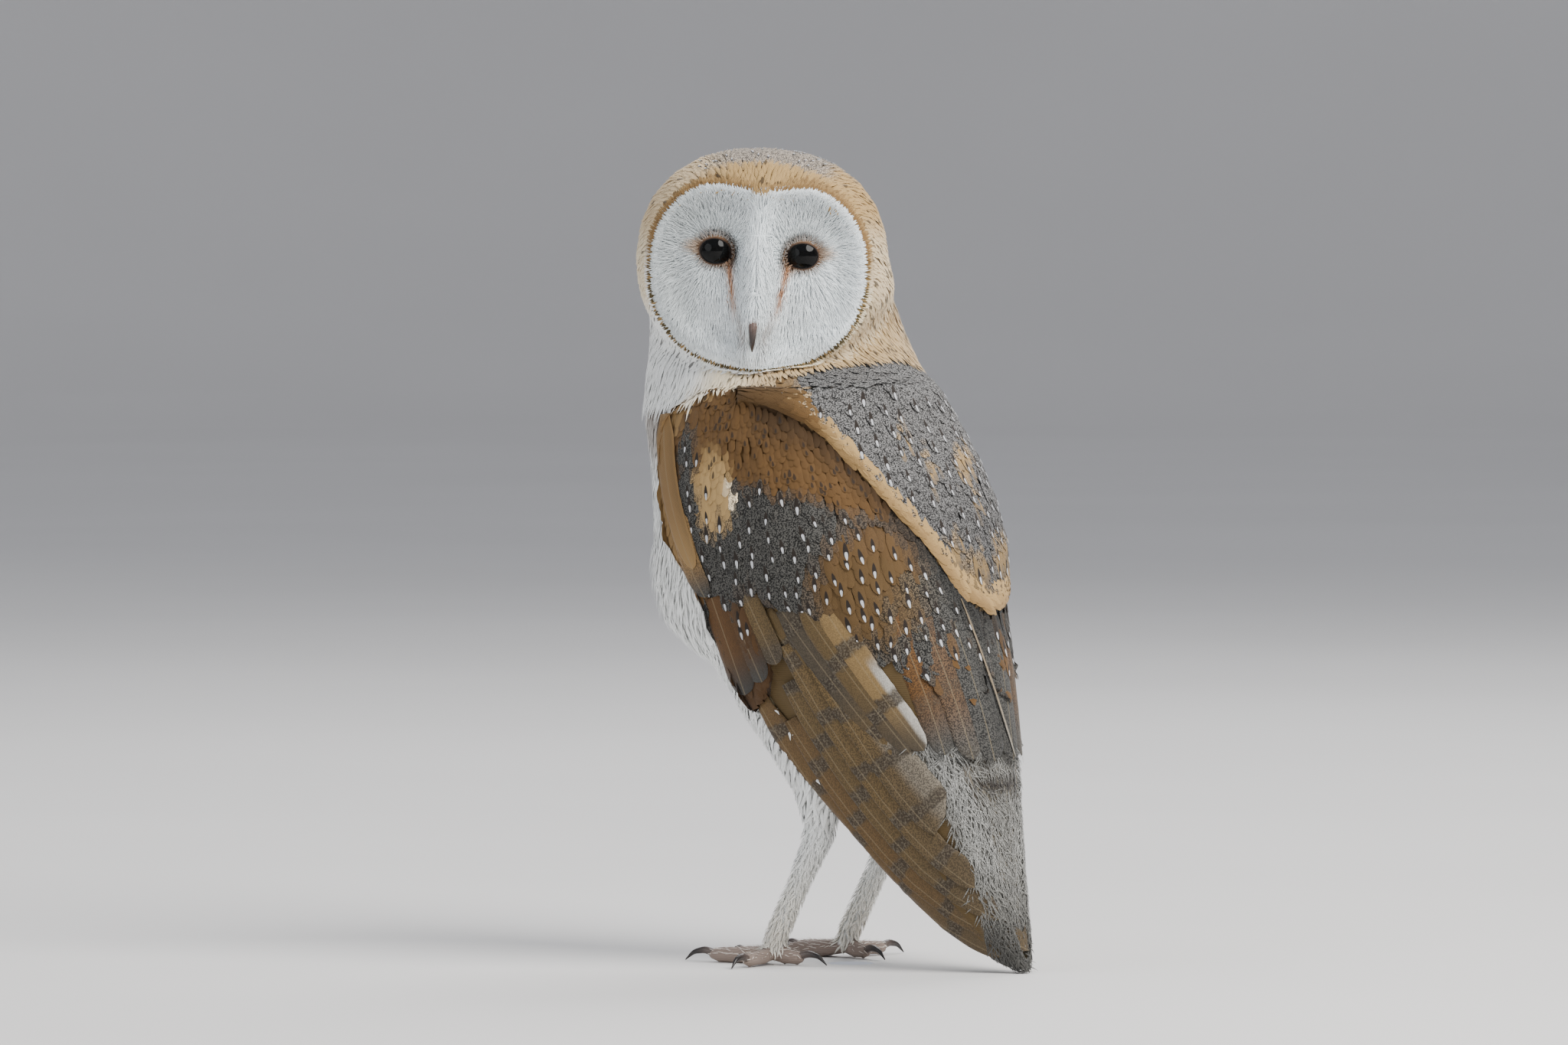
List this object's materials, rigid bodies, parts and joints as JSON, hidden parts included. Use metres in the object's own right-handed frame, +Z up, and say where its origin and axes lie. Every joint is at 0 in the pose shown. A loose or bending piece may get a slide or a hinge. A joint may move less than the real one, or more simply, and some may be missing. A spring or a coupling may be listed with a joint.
{
  "type": "barn owl",
  "caption": "Life-size still barn owl standing on a level floor, head turned back over its left shoulder, wings folded past the tail.",
  "frame": {"origin": "on the floor, under the middle of the whole bird's bounding box", "axes": "+Z up, -Y the way the trunk faces, +X the bird's left"},
  "size_m": [0.139, 0.1924, 0.352],
  "materials": {
    "white_plumage": "soft matt",
    "golden_plumage": "soft matt",
    "grey_plumage": "soft matt",
    "flight_plumage": "silky",
    "eye": "wet gloss",
    "horn": "satin",
    "toe_skin": "scaly"
  },
  "bodies": {
    "root": {"head": "golden_plumage", "facial_disc": "white_plumage", "eye_left": "eye", "eye_right": "eye", "bill_upper": "horn", "bill_lower": "horn", "neck": "white_plumage", "trunk": "white_plumage", "wing_coverts_left": "golden_plumage", "wing_coverts_right": "golden_plumage", "secondaries_left": "flight_plumage", "secondaries_right": "flight_plumage", "primaries_left": "flight_plumage", "primaries_right": "flight_plumage", "mantle": "grey_plumage", "tail": "white_plumage", "thigh_left": "white_plumage", "thigh_right": "white_plumage", "tarsus_left": "white_plumage", "tarsus_right": "white_plumage", "toe_middle_left": "toe_skin", "toe_middle_right": "toe_skin", "toe_inner_left": "toe_skin", "toe_inner_right": "toe_skin", "toe_outer_left": "toe_skin", "toe_outer_right": "toe_skin", "toe_hind_left": "toe_skin", "toe_hind_right": "toe_skin", "claw_middle_left": "horn", "claw_middle_right": "horn", "claw_inner_left": "horn", "claw_inner_right": "horn", "claw_outer_left": "horn", "claw_outer_right": "horn", "claw_hind_left": "horn", "claw_hind_right": "horn"}
  },
  "joints": []
}
